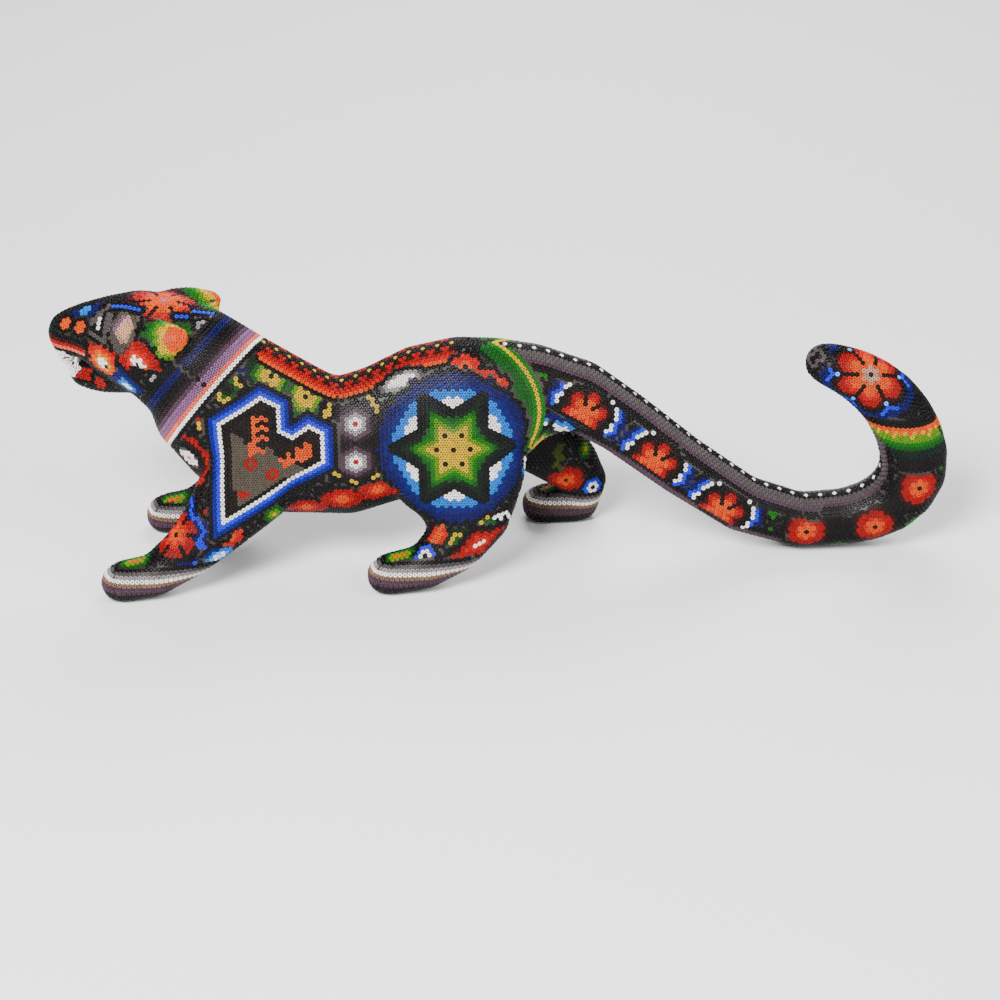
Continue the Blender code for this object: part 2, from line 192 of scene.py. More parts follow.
class Packing:
    """Beads laid one against another, outwards from the middle of each motif."""

    def __init__(self, surface):
        self.surface = surface
        self.places = []
        self.normals = []
        self.ways = []
        self.motifs = []
        self.steps = []
        self.cells = {}

    def cell(self, place):
        return (int(place.x // PITCH), int(place.y // PITCH), int(place.z // PITCH))

    def add(self, place, normal, way, motif, step):
        index = len(self.places)
        self.places.append(place)
        self.normals.append(normal)
        self.ways.append((way - normal * way.dot(normal)).normalized())
        self.motifs.append(motif)
        self.steps.append(step)
        self.cells.setdefault(self.cell(place), []).append(index)
        return index

    def near(self, place, reach):
        """Beads within a distance of a place, as (distance, index)."""
        cx, cy, cz = self.cell(place)
        found = []
        for i in (-1, 0, 1):
            for j in (-1, 0, 1):
                for k in (-1, 0, 1):
                    for index in self.cells.get((cx + i, cy + j, cz + k), ()):
                        gap = (self.places[index] - place).length
                        if gap < reach:
                            found.append((gap, index))
        return found

    def settle(self, place, normal):
        """Moves a place to one pitch from the beads around it."""
        for turn in range(3):
            push = Vector((0.0, 0.0, 0.0))
            for gap, index in self.near(place, 1.25 * PITCH):
                if gap > 0.0:
                    push += (place - self.places[index]) * ((PITCH - gap) / gap)
            place, normal = self.surface.put(place + push * 0.4)
        return place, normal

    def grow(self, seeds, colour_of):
        """Lays beads outwards from the seeds: big motifs, then bands, small motifs and the rest.

        A seed is (places, ways, reach, rank, band). A band is a row of beads, and reaches its
        number of rows to either side; a motif starts from one bead, and reaches its radius.
        """
        queue = []

        def key(motif, a, b):
            places, ways, reach, rank, band = seeds[motif]
            painted = colour_of(motif, a, b) is not None
            if band:
                gap = abs(b) - (reach[0] if b > 0 else reach[1])
                return (rank, abs(b)) if painted and gap <= 0 else (9, max(gap, 0) * ROW)
            gap = math.hypot(a + 0.5 * b, ROW * b)
            return (rank, gap) if painted else (9, max(gap - reach, 0.0))

        for motif in sorted(range(len(seeds)), key=lambda m: seeds[m][3]):
            for k, (place, way) in enumerate(zip(seeds[motif][0], seeds[motif][1])):
                heapq.heappush(queue, (seeds[motif][3], -1.0, k, motif, None, place, way))
        while queue:
            rank, gap, index, motif, none, place, way = heapq.heappop(queue)
            if gap < 0.0:
                across = self.surface.put(place)[1].cross(way)
                for a, b in ((0, 0),) if seeds[motif][4] else AROUND:
                    spot, up = self.surface.put(
                        place + (way * (a + 0.5 * b) + across * (ROW * b)) * PITCH)
                    if not self.near(spot, 0.85 * PITCH):
                        new = self.add(spot, up, way, motif, (a + index, b))
                        heapq.heappush(queue, (*key(motif, a + index, b), new, motif, None,
                                               spot, way))
                        break
                continue
            place, normal, way = self.places[index], self.normals[index], self.ways[index]
            across = normal.cross(way)
            for k, (da, db) in enumerate(((1, 0), (0, 1), (-1, 1), (-1, 0), (0, -1), (1, -1))):
                turn = math.radians(60.0 * k)
                aim = place + (way * math.cos(turn) + across * math.sin(turn)) * PITCH
                spot, up = self.surface.put(aim)
                if self.near(spot, 0.75 * PITCH):
                    continue
                spot, up = self.settle(spot, up)
                if self.near(spot, 0.90 * PITCH):
                    continue
                a, b = self.steps[index][0] + da, self.steps[index][1] + db
                new = self.add(spot, up, way, motif, (a, b))
                heapq.heappush(queue, (*key(motif, a, b), new, motif, None, spot, way))

    def relax(self, rounds):
        """Evens out the spacing where two fields of beads have met."""
        for turn in range(rounds):
            moves = []
            for index, place in enumerate(self.places):
                push = Vector((0.0, 0.0, 0.0))
                for gap, other in self.near(place, 1.12 * PITCH):
                    if other != index and gap > 0.0:
                        push += (place - self.places[other]) * ((1.02 * PITCH - gap) / gap)
                moves.append(place + push * 0.28)
            self.cells = {}
            for index, place in enumerate(moves):
                spot, up = self.surface.put(place)
                self.places[index] = spot
                self.normals[index] = up
                self.cells.setdefault(self.cell(spot), []).append(index)

    def fill(self, least):
        """Adds beads where a gap is wide enough for one."""
        for index in range(len(self.places)):
            place, normal, way = self.places[index], self.normals[index], self.ways[index]
            across = normal.cross(way)
            for k in range(12):
                turn = math.radians(30.0 * k)
                aim = place + (way * math.cos(turn) + across * math.sin(turn)) * PITCH
                spot, up = self.surface.put(aim)
                if self.near(spot, least * PITCH):
                    continue
                self.add(spot, up, way, -1, (0, 0))


# ---- colours -----------------------------------------------------------------------------------

COLOURS = {  # the glass of the beads, as display red, green and blue
    "black": (4, 4, 5), "brown black": (26, 8, 3), "white": (240, 238, 234),
    "light grey": (160, 156, 156), "grey": (104, 97, 98), "deer grey": (104, 96, 84),
    "beige": (214, 176, 150), "tan": (150, 126, 100), "pink grey": (190, 156, 140),
    "dark purple": (24, 12, 19), "purple": (56, 37, 48), "mauve": (102, 78, 94),
    "lilac": (146, 110, 144), "salmon": (226, 120, 96), "lavender": (136, 122, 215),
    "navy": (0, 0, 92), "royal": (0, 0, 104), "royal blue": (0, 4, 150),
    "periwinkle": (34, 66, 214), "mid blue": (0, 36, 124), "sky": (0, 134, 206),
    "pale blue": (120, 180, 250), "yellow": (206, 176, 0), "lime": (112, 152, 0),
    "olive": (92, 104, 0), "light green": (14, 128, 10), "green": (0, 104, 24),
    "dark green": (0, 52, 18), "teal": (0, 44, 40), "teal black": (2, 22, 24),
    "orange": (214, 98, 0), "red orange": (196, 34, 0), "red": (170, 2, 0),
    "dark red": (76, 0, 0),
}


def steps(distance, *rings):
    """The colour at a distance, from (outer limit, colour) rings; nothing past the last one."""
    for limit, colour in rings:
        if distance < limit:
            return colour
    return None


def line_gap(x, y, points):
    """Distance from a place to a chain of straight lines."""
    best = 1e9
    for (x0, y0), (x1, y1) in zip(points[:-1], points[1:]):
        dx, dy = x1 - x0, y1 - y0
        t = ((x - x0) * dx + (y - y0) * dy) / max(dx * dx + dy * dy, 1e-9)
        t = min(1.0, max(0.0, t))
        best = min(best, math.hypot(x - x0 - t * dx, y - y0 - t * dy))
    return best


def inside(x, y, points):
    """How far inside a polygon a place is; below zero outside it."""
    within = False
    for (x0, y0), (x1, y1) in zip(points, points[1:] + points[:1]):
        if (y0 > y) != (y1 > y) and x < (x1 - x0) * (y - y0) / (y1 - y0) + x0:
            within = not within
    gap = line_gap(x, y, points + points[:1])
    return gap if within else -gap


def star_radius(x, y, first, notch):
    """Distance in the shape of a six-pointed star; a point lies at angle first, and notch is the
    radius of the notches when that of the points is 1."""
    turn = math.degrees(math.atan2(y, x)) - first
    off = math.radians(abs((turn + 30.0) % 60.0 - 30.0))
    slope = (1.0 - notch * math.cos(math.radians(30.0))) / (notch * 0.5)
    radius = math.hypot(x, y)
    return radius * (math.cos(off) + slope * math.sin(off))


def off_axis(x, y, first, step=60.0):
    """Angle, in degrees, to the nearest of a ring of axes."""
    turn = math.degrees(math.atan2(y, x)) - first
    return abs((turn + step / 2.0) % step - step / 2.0)


# ---- motifs: each gives the colour of a bead from its place x, y in pitches ------------------------

def haunch_star(x, y):
    star, radius = star_radius(x, y, 0.0, 0.61), math.hypot(x, y)
    if radius < 0.4 or (abs(radius - 3.46) < 0.3 and off_axis(x, y, 0.0) < 6.0):
        return "black"
    colour = steps(star, (5.8, "yellow"), (7.2, "lime"), (8.6, "light green"), (10.0, "green"),
                   (11.0, "dark green"), (12.7, "teal black"), (13.8, "black"))
    if colour:
        return colour
    return steps(radius, (10.7, "white"), (12.5, "sky"), (13.9, "mid blue"), (15.6, "royal"))


DEER_PANEL = [(-10.8, 9.27), (0.0, 15.5), (5.63, 12.25), (5.63, 6.75), (9.53, 9.0), (14.29, 6.25),
              (14.29, -2.25), (-10.8, -16.73)]
DEER_FACE = [(-6.6, 6.2), (-3.8, 3.9), (-3.0, 2.7), (0.1, 2.7), (1.9, 1.7), (3.6, 0.2), (4.3, -1.9),
             (6.9, -1.4), (8.9, -2.9), (6.8, -4.6), (4.0, -4.1), (1.1, -6.1), (-2.6, -7.9),
             (-4.8, -9.6), (-5.8, -9.1), (-6.0, -0.7)]
ANTLERS = [[(-2.2, 1.8), (-1.7, 9.3)], [(-1.5, 9.0), (0.8, 8.5)], [(-1.6, 7.0), (0.4, 6.5)],
           [(-1.8, 4.9), (0.4, 4.5)], [(-2.0, 2.6), (0.2, 2.4)],
           [(4.0, -2.0), (9.8, 1.2)], [(4.2, -1.6), (3.7, 0.3)], [(5.8, -0.8), (5.3, 1.4)],
           [(7.6, 0.2), (7.1, 2.3)], [(9.3, 1.2), (9.0, 3.2)]]


def deer_panel(x, y):
    depth = inside(x, y, DEER_PANEL)
    if depth < 0.0:
        return None
    for ex, ey in ((-2.6, -0.5), (1.73, -3.0)):
        eye = math.hypot(x - ex, y - ey)
        if eye < 1.5:
            return "deer grey" if eye < 0.5 else "red"
    if math.hypot(x + 4.3, y + 7.0) < 1.1:
        return "red"
    if min(line_gap(x, y, line) for line in ANTLERS) < 0.52:
        return "orange"
    if inside(x, y, DEER_FACE) > -0.2 and depth > 2.6:
        return "deer grey"
    return steps(depth, (0.86, "royal blue"), (1.72, "periwinkle"), (2.58, "white"),
                 (3.6, "black")) or "brown black"


TWIN_FIELD = [(-6.5, 2.7), (-5.3, 7.5), (-3.9, 9.1), (0.4, 10.3), (2.8, 9.4), (5.0, 6.3),
              (5.2, -7.8), (0.2, -8.8), (-5.0, -6.0)]


def twin_peyotes(x, y):
    for middle in (4.0, -4.0):
        colour = steps(math.hypot(x, y - middle), (0.5, "red"), (1.2, "white"),
                       (2.1, "light grey"), (3.1, "mauve"), (3.9, "purple"), (4.5, "dark purple"))
        if colour:
            return colour
    edge = min(line_gap(x, y, TWIN_FIELD[:6]),
               line_gap(x, y, [(-5.3, 0.2), (-4.8, -0.9)]),
               line_gap(x, y, [(-5.0, -6.0), (0.2, -8.8)]),
               line_gap(x, y, [(5.0, 1.7), (4.5, -1.1), (5.2, -7.8), (3.5, -8.1)]))
    if edge < 0.52:
        return "yellow"
    return "black" if inside(x, y, TWIN_FIELD) > 0.0 else None


def dome(x, y):
    return steps(math.hypot(x, y), (0.5, "black"), (2.3, "yellow"), (3.2, "lime"), (4.3, "green"),
                 (5.3, "dark green"), (6.6, "navy"))


def green_hexagon(x, y):
    return steps(math.hypot(x, y), (0.5, "black"), (1.2, "dark green"), (1.9, "green"),
                 (2.9, "yellow"))


def red_star(x, y):
    if math.hypot(x, y) < 1.3:
        return "red"
    return steps(star_radius(x, y, 30.0, 0.6), (3.3, "yellow"))


def chest_oval(x, y):
    size = math.hypot(x / 5.6, y / 7.6)
    return steps(size, (0.12, "salmon"), (0.3, "white"), (0.42, "grey"), (0.7, "black"),
                 (0.8, "dark red"), (1.0, "red"))


def white_mark(x, y):
    size = math.hypot((x * 0.94 + y * 0.34) / 4.4, (y * 0.94 - x * 0.34) / 1.9)
    return steps(size, (0.62, "white"), (0.85, "light grey"), (1.1, "grey"))


def small_flower(x, y):
    return steps(math.hypot(x, y), (0.5, "black"), (1.6, "orange"), (2.7, "red orange"))


def long_flower(x, y):
    size = math.hypot((x * 0.8 - y * 0.6) / 3.4, (y * 0.8 + x * 0.6) / 1.6)
    return steps(size, (0.5, "orange"), (1.0, "red orange"))


def belly_flower(x, y):
    size = math.hypot(x / 4.6, y / 2.9)
    return steps(size, (0.35, "orange"), (0.6, "red orange"), (1.0, "red"), (1.15, "dark red"))


def red_peyote(x, y):
    radius = math.hypot(x, y)
    if radius < 0.5:
        return "black"
    if star_radius(x, y, 30.0, 0.62) < 2.3:
        return "orange"
    return steps(radius, (2.6, "red orange"), (3.8, "red"), (4.5, "dark red"),
                 (5.1, "brown black"))


def half_flower(x, y):
    """Orange heart and three petals, standing on the tail's lower band, in two blue arcs."""
    radius = math.hypot(x, y)
    if y < -1.9:
        return None
    if radius < 2.5 + 0.7 * math.cos(math.radians(6.0 * off_axis(x, y, 30.0))):
        return "orange"
    if radius < 5.6:
        if off_axis(x, y, 0.0) < 0.5 / radius * 57.3 and y > 1.0:
            return "brown black"
        return steps(radius + (off_axis(x, y, 30.0) / 30.0) ** 2 * 1.1, (3.6, "red orange"),
                     (4.8, "red"), (5.4, "dark red")) or "black"
    return steps(radius, (6.3, "black"), (7.2, "white"), (8.1, "periwinkle"), (9.4, "royal"))


def green_triangle(x, y):
    depth = inside(x, y, [(-3.6, 2.2), (3.6, 2.2), (0.0, -3.4)])
    return None if depth < -0.3 else ("olive" if depth > 0.8 else "light green")


def green_ring(x, y):
    radius = math.hypot(x, y)
    if 0.6 < radius < 1.4 or (radius < 2.3 and off_axis(x, y, 30.0) < 8.0 and radius > 1.4):
        return "light green"
    return None


def great_flower(x, y):
    """Six petals about a grey-pink star, on the end of the tail."""
    radius, off = math.hypot(x, y), off_axis(x, y, 30.0)
    if radius < 0.5:
        return "black"
    star = star_radius(x, y, 30.0, 0.6)
    if star < 3.0:
        return "pink grey"
    edge = 8.2 - (off / 30.0) ** 2 * 2.4
    if radius < edge:
        if off_axis(x, y, 0.0) < 0.5 / radius * 57.3 and radius > 2.4:
            return "black"
        return steps(star, (4.2, "orange")) or steps(radius / edge, (0.55, "orange"),
                                                     (0.68, "red orange"), (0.9, "red"),
                                                     (1.0, "dark red"))
    if radius < edge + 0.9:
        return "black"
    if radius < edge + 2.9 and off > 17.0:
        return "pale blue" if radius < edge + 1.9 else "periwinkle"
    return steps(radius, (10.8, "royal"))


def paw_oval(x, y):
    return steps(math.hypot(x / 1.5, y), (0.8, "orange"), (1.5, "lime"), (2.3, "green"),
                 (3.1, "dark green"), (3.9, "black"))


ZIGZAG = [(2.9, 7.7), (3.6, 4.3), (6.7, 1.0), (5.3, -1.4), (6.9, -4.3), (4.3, -6.7), (1.4, -6.9)]


def leg_flower(x, y):
    """Orange star, red petals parted by dark lines, and a blue zigzag behind."""
    radius = math.hypot(x, y)
    if radius < 0.5:
        return "black"
    edge = line_gap(x, y, ZIGZAG)
    if edge < 1.2:
        return "periwinkle" if edge < 0.5 else "royal"
    if star_radius(x, y, 30.0, 0.55) < 3.0:
        return "orange"
    if radius < 6.0:
        if off_axis(x, y, 0.0) < 0.5 / radius * 57.3 and radius > 2.0:
            return "brown black"
        return steps(radius, (3.0, "red orange"), (4.6, "red"), (5.2, "dark red")) or "black"
    return None


def blue_lozenge(x, y):
    size = math.hypot((x * 0.9 + y * 0.44) / 3.8, (y * 0.9 - x * 0.44) / 2.3)
    return steps(size, (0.35, "white"), (0.6, "pale blue"), (0.85, "sky"), (1.1, "mid blue"))


def open_flower(x, y):
    if x < -0.4 and abs(y) < 0.9:
        return None
    return steps(math.hypot(x, y), (0.7, "black"), (1.7, "orange"), (2.7, "red orange"))


def red_spot(x, y):
    return steps(math.hypot(x, y), (1.6, "red"))


def green_spot(x, y):
    return steps(math.hypot(x, y), (0.6, "yellow"), (1.5, "lime"), (2.3, "green"))


def blue_flower(x, y):
    return steps(math.hypot(x, y), (0.5, "black"), (1.4, "white"), (2.6, "periwinkle"))


def red_diamond(x, y):
    along, across = x * 0.86 + y * 0.51, y * 0.86 - x * 0.51
    size = abs(along) / 6.4 + abs(across) / 2.9
    return steps(size, (0.32, "white"), (0.62, "red orange"), (1.0, "red"), (1.18, "dark red"))


def yellow_arc(x, y):
    radius = math.hypot(x, y)
    if 1.2 < radius < 2.3 and y > -0.6:
        return "yellow"
    return steps(radius, (1.2, "green"), (3.1, "dark green"))


def leg_hook(x, y):
    """Orange and red band that comes down the front of the hind leg."""
    gap = line_gap(x, y, [(-4.5, 6.5), (0.8, 3.0), (1.4, -0.6), (-0.6, -3.0)])
    return steps(gap, (0.6, "orange"), (1.5, "red orange"))


def leaf(x, y):
    """The ear's leaf, orange by the tip and green by the rim."""
    return steps(math.hypot(x, y), (3.4, "orange"), (4.4, "yellow"), (5.5, "lime"),
                 (6.7, "light green"), (8.0, "green"), (9.0, "teal"), (9.6, "teal black"))


def brow_flower(x, y):
    radius = math.hypot(x, y)
    if radius < 0.5:
        return "lavender"
    if star_radius(x, y, 30.0, 0.55) < 4.0:
        return "lavender" if abs(radius - 3.0) < 0.45 and off_axis(x, y, 30.0) < 9.0 else "orange"
    if radius < 8.6:
        if off_axis(x, y, 0.0) < 0.5 / radius * 57.3 and radius > 2.4:
            return "brown black"
        return steps(radius + (off_axis(x, y, 30.0) / 30.0) ** 2, (4.0, "orange"),
                     (5.2, "red orange"), (7.0, "red"), (8.2, "dark red")) or "black"
    return None


def blue_corner(x, y):
    depth = inside(x, y, [(-3.6, 0.4), (3.8, 2.6), (3.0, -0.4), (-0.2, -3.0)])
    if depth < -0.4:
        return None
    return "sky" if math.hypot(x - 0.4, y - 0.9) < 1.2 else "royal"


def eye(x, y):
    if line_gap(x, y, [(0.0, -1.2), (0.3, 1.3)]) < 0.55:
        return "white"
    depth = inside(x, y, [(-3.4, -1.2), (0.7, 4.2), (3.0, 3.8), (1.8, -4.4)])
    return None if depth < -0.4 else ("grey" if depth < 1.0 else "black")


def temple(x, y):
    size = math.hypot(x / 2.9, y / 3.6)
    return steps(size, (0.5, "beige"), (0.8, "pink grey" if x > 0 or y < 0 else "lilac"),
                 (1.15, "deer grey"), (1.4, "grey" if x < 0 else "black"))


def cheek(x, y):
    if math.hypot(x - 0.8, y + 0.8) < 0.5:
        return "black"
    depth = inside(x, y, [(-4.6, 6.4), (3.8, 1.6), (2.0, -2.8), (-3.2, -2.2)])
    if depth < -0.3:
        return None
    return steps(math.hypot(x, y), (1.3, "white"), (2.0, "yellow"), (3.0, "orange"),
                 (4.2, "red orange")) or "red"


def cheek_arch(x, y):
    """Black heart in a white hook, then orange and red, open towards the jaw."""
    radius, turn = math.hypot(x, y), math.degrees(math.atan2(y, x)) % 360.0
    if 195.0 < turn < 285.0:
        return "black" if radius < 2.0 else None
    return steps(radius, (0.9, "black"), (1.8, "white"), (2.6, "orange"), (3.5, "red orange"),
                 (4.8, "red"))


def jaw_triangle(x, y):
    depth = inside(x, y, [(0.0, 4.6), (-4.6, 0.4), (-0.6, -2.8), (5.0, -3.4)])
    if depth < -0.3:
        return None
    return steps(math.hypot(x - 0.2, y + 1.2), (1.2, "white"), (2.1, "sky"),
                 (3.0, "mid blue")) or "royal"


def grey_flower(x, y):
    return steps(math.hypot(x, y), (0.5, "white"), (1.4, "light grey"))


def white_ring(x, y):
    radius = math.hypot(x / 1.5, y)
    return None if radius < 0.7 else steps(radius, (1.5, "white"), (2.2, "light grey"))


def blue_dash(x, y):
    return "periwinkle" if abs(y) < 0.6 and abs(x) < 3.6 else None


def short_dash(x, y):
    return "periwinkle" if abs(y) < 0.6 and abs(x) < 1.6 else None


def orange_spot(x, y):
    return steps(math.hypot(x, y), (1.5, "orange"))


def serpent_eye(x, y):
    return steps(max(abs(x), abs(y)), (0.9, "black"), (1.9, "grey"))


def orange_bar(x, y):
    return "orange" if abs(x) < 0.6 and abs(y) < 3.6 else None


def heel_zigzag(x, y):
    gap = line_gap(x, y, [(-2.4, 1.4), (-0.8, 0.2), (0.4, 1.2), (1.6, -0.8), (2.2, -2.6)])
    return steps(gap, (0.6, "white"), (1.2, "black"))


def inner_star(x, y):
    """Half-hidden star on the inside of the far thigh."""
    star, radius = star_radius(x, y, 0.0, 0.61), math.hypot(x, y)
    return steps(star, (2.4, "yellow"), (3.6, "lime"), (4.8, "green"), (5.8, "dark green"),
                 (7.4, "black")) or steps(radius, (7.0, "white"), (8.0, "sky"), (9.4, "royal"))


def olive_zigzag(x, y):
    gap = line_gap(x, y, [(0.8, 3.6), (-0.8, 1.8), (0.8, 0.4), (-0.8, -1.2), (0.6, -2.8)])
    return steps(gap, (0.55, "olive"))


# ---- bands: each gives the colour of a bead from its row and its place along the row -----------------

def collar(row, along):
    return {0: "white", 1: "salmon", 2: "lilac", 3: "lilac", 4: "mauve", 5: "purple",
            6: "dark purple", 7: "black", 8: "navy", 9: "navy", 10: "black"}.get(row)


def spine(row, along):
    row = abs(row)
    phase = abs((along + 1.5) % 3.0 - 1.5)
    if row == 0 and phase < 0.5:
        return "yellow"
    if row < 2 or (row == 2 and phase < 0.8):
        return "brown black"
    if row == 3 and phase < 0.6:
        return "dark red"
    return {2: "red", 3: "red", 4: "red", 5: "red orange", 6: "orange"}.get(row)


def rump(row, along):
    row = abs(row)
    return {0: "yellow", 1: "light green", 2: "green", 3: "green", 4: "green", 5: "dark green",
            6: "dark green", 7: "dark green", 8: "teal", 9: "teal black", 10: "black",
            11: "black"}.get(row)


def tail_top(row, along):
    row = abs(row)
    if row == 0:
        return "white" if along % 3.0 < 0.5 else "black"
    if along > 78.0:
        return {1: "black", 2: "grey", 3: "grey", 4: "mauve", 5: "black"}.get(row)
    return {1: "black", 2: "grey", 3: "grey", 4: "grey", 5: "mauve", 6: "black"}.get(row)


def tail_under(row, along):
    return {7: "black", 6: "mauve", 5: "mauve"}.get(abs(row), "purple" if abs(row) < 5 else None)


def tail_ring(row, along):
    if row == -1:
        return "yellow" if along % 2.0 < 1.0 else "orange"
    if row == -2:
        return "yellow" if along % 4.0 < 1.0 else "lime"
    return {0: "orange", -3: "lime", -4: "light green", -5: "green", -6: "dark green",
            -7: "teal", -8: "teal black", -9: "brown black", -10: "brown black",
            1: "black"}.get(row)


def paw(row, along):
    return {0: "white", 1: "light grey", 2: "grey", -1: "tan", -2: "mauve", -3: "mauve",
            -4: "purple", -5: "dark purple", -6: "black", -7: "black"}.get(row)


def upper_lip(row, along):
    return {0: "dark red", 1: "red", 2: "salmon", -1: "black", -2: "teal",
            -3: "teal black"}.get(row)


def lower_lip(row, along):
    return "red" if abs(row) < 2 else None


# ---- where everything lies, in millimetres on a figure of 400.7 by 82.5 by 129.9 ---------------

NEAR, FAR = -1.0, 1.0       # the animal's left flank faces -Y
MIDDLE = -1.25

BODY_MOTIFS = [  # place, lean, turn of the lattice, reach, painter; mirrored on the far flank
    ((-120.5, -24.0, 98.0), 0, 30, 4, green_hexagon),
    ((-134.0, -26.0, 86.5), 0, 30, 4, red_star),
    ((-102.0, -16.0, 100.0), 0, 0, 7, dome),
    ((-87.5, -17.0, 90.0), 0, 0, 7, dome),
    ((-66.5, -25.0, 70.5), 0, 30, 13, twin_peyotes),
    ((-46.0, -14.5, 95.5), 0, 0, 13, white_mark),
    ((-18.0, -15.0, 102.0), 0, 0, 13, small_flower),
    ((-6.0, -19.0, 97.0), 0, 0, 13, long_flower),
    ((-73.0, -23.5, 42.0), -5, 0, 6, belly_flower),
    ((-57.0, -23.5, 46.0), 10, 0, 6, belly_flower),
    ((-89.0, -20.0, 36.5), 0, 0, 6, belly_flower),
    ((34.0, -17.0, 78.5), -38, 0, 13, half_flower),
    ((65.5, -15.0, 52.0), -38, 0, 13, half_flower),
    ((96.5, -13.5, 25.5), -34, 0, 13, half_flower),
    ((60.0, -10.5, 74.0), -30, 0, 5, green_triangle),
    ((91.5, -10.5, 47.0), -25, 0, 5, green_triangle),
    ((18.0, -13.0, 97.5), 0, 0, 3, green_ring),
    ((120.5, -12.0, 25.0), 0, 0, 3, green_ring),
    ((119.5, -12.5, 12.0), 0, 0, 3, green_ring),
    ((152.0, -7.5, 3.0), 0, 0, 3, green_ring),
    ((185.0, -9.5, 15.0), 0, 0, 3, green_ring),
    ((196.0, -11.5, 47.5), 0, 0, 3, green_ring),
    ((136.0, -14.0, 13.5), 0, 0, 6, red_peyote),
    ((167.0, -14.5, 15.5), 0, 0, 6, red_peyote),
    ((185.5, -16.5, 36.0), 0, 0, 6, red_peyote),
    ((161.0, -10.5, 91.0), 0, 0, 11, great_flower),
    ((137.0, -5.0, 97.0), 20, 30, 3, serpent_eye),
    ((8.0, -20.0, 66.5), 0, 30, 4, orange_bar),
]

OTHER_MOTIFS = [  # the same, but each only where it is given; a far-side one is turned to face out
    ((-139.0, -16.5, 62.0), 30, 0, 8, chest_oval),
    ((-106.5, -31.0, 66.0), 0, 30, 17, deer_panel),
    ((-146.5, -31.5, 31.0), -15, 0, 9, leg_flower),
    ((-122.5, -34.5, 30.5), 0, 0, 3, open_flower),
    ((-127.5, -33.5, 20.5), -23, 0, 4, blue_lozenge),
    ((-131.0, -33.5, 43.0), 0, 0, 2, red_spot),
    ((-138.0, -35.5, 15.5), 0, 0, 2, orange_spot),
    ((-103.0, -29.0, 38.5), 0, 0, 3, green_spot),
    ((-165.0, -29.5, 17.5), 0, 0, 6, paw_oval),
    ((-24.0, -30.5, 69.0), 0, 30, 17, haunch_star),
    ((-32.5, -33.5, 31.5), 0, 0, 6, leg_hook),
    ((-37.5, -36.5, 20.0), 0, 0, 3, blue_flower),
    ((-13.0, -35.5, 24.5), -12, 30, 13, red_diamond),
    ((-9.0, -34.5, 33.5), 0, 0, 3, yellow_arc),
    ((-22.0, -37.5, 26.5), 0, 0, 3, yellow_arc),
    ((-1.5, -30.5, 35.0), 0, 0, 4, heel_zigzag),
    ((-48.5, -31.0, 17.5), 0, 0, 6, paw_oval),
    ((-151.0, 27.0, 16.0), 0, 0, 6, paw_oval),
    ((28.5, 13.5, 28.5), 0, 0, 6, red_peyote),
    ((41.5, 18.0, 22.0), 0, 0, 4, blue_flower),
    ((10.0, -8.0, 66.0), 0, 0, 10, inner_star),
    ((25.0, 8.0, 42.0), 0, 0, 4, olive_zigzag),
    ((38.0, 16.5, 43.0), 0, 0, 3, green_spot),
    ((22.0, 31.0, 16.5), 0, 0, 6, paw_oval),
    ((-98.0, 31.0, 64.0), 0, 30, 17, deer_panel),
    ((-128.0, 36.0, 29.0), 0, 0, 9, leg_flower),
    ((-110.0, 34.0, 38.0), 0, 0, 3, open_flower),
    ((5.0, 31.0, 68.0), 0, 30, 17, haunch_star),
    ((30.0, 40.0, 32.0), 0, 30, 6, red_peyote),
    ((14.0, 36.0, 38.0), 0, 0, 4, blue_flower),
    ((-147.5, 0.5, 130.0), 0, 0, 9, brow_flower),
    ((-183.5, 6.0, 121.0), -20, 0, 5, blue_corner),
    ((-176.0, -4.0, 121.5), -12, 30, 5, eye),
    ((-164.5, -11.5, 122.0), -6, 0, 5, temple),
    ((-175.0, -10.5, 105.0), 29, 0, 7, cheek),
    ((-159.0, -22.5, 110.0), 37, 0, 5, cheek_arch),
    ((-166.5, -14.0, 97.5), 30, 0, 7, jaw_triangle),
    ((-151.0, -22.5, 102.0), 0, 0, 2, grey_flower),
    ((-127.0, -10.0, 121.5), 30, 0, 4, white_ring),
    ((-192.0, 6.0, 117.5), 0, 0, 13, orange_spot),
    ((-185.0, 0.0, 118.0), 0, 0, 13, orange_spot),
    ((-164.0, -2.0, 128.0), -24, 0, 4, blue_dash),
    ((-128.5, -1.0, 124.0), 18, 0, 4, blue_dash),
    ((-139.5, -8.0, 126.0), 9, 0, 2, short_dash),
    ((-178.0, 0.0, 90.0), 0, 0, 2, red_spot),
    ((-140.0, -24.0, 123.0), 0, 0, 9, leaf),
    ((-127.0, 17.5, 121.5), 0, 0, 9, leaf),
    ((-168.0, 21.0, 120.0), 0, 30, 5, eye),
    ((-150.0, 25.5, 112.0), 0, 0, 5, cheek_arch),
    ((-162.0, 24.0, 108.0), 0, 0, 7, cheek),
    ((-154.0, 20.0, 97.0), 0, 0, 7, jaw_triangle),
]

DRAWN = (400.7, 82.5, 129.9)
BIG, MIDDLING = 16.0, 12.0      # reaches past which a motif is laid first, or with the bands


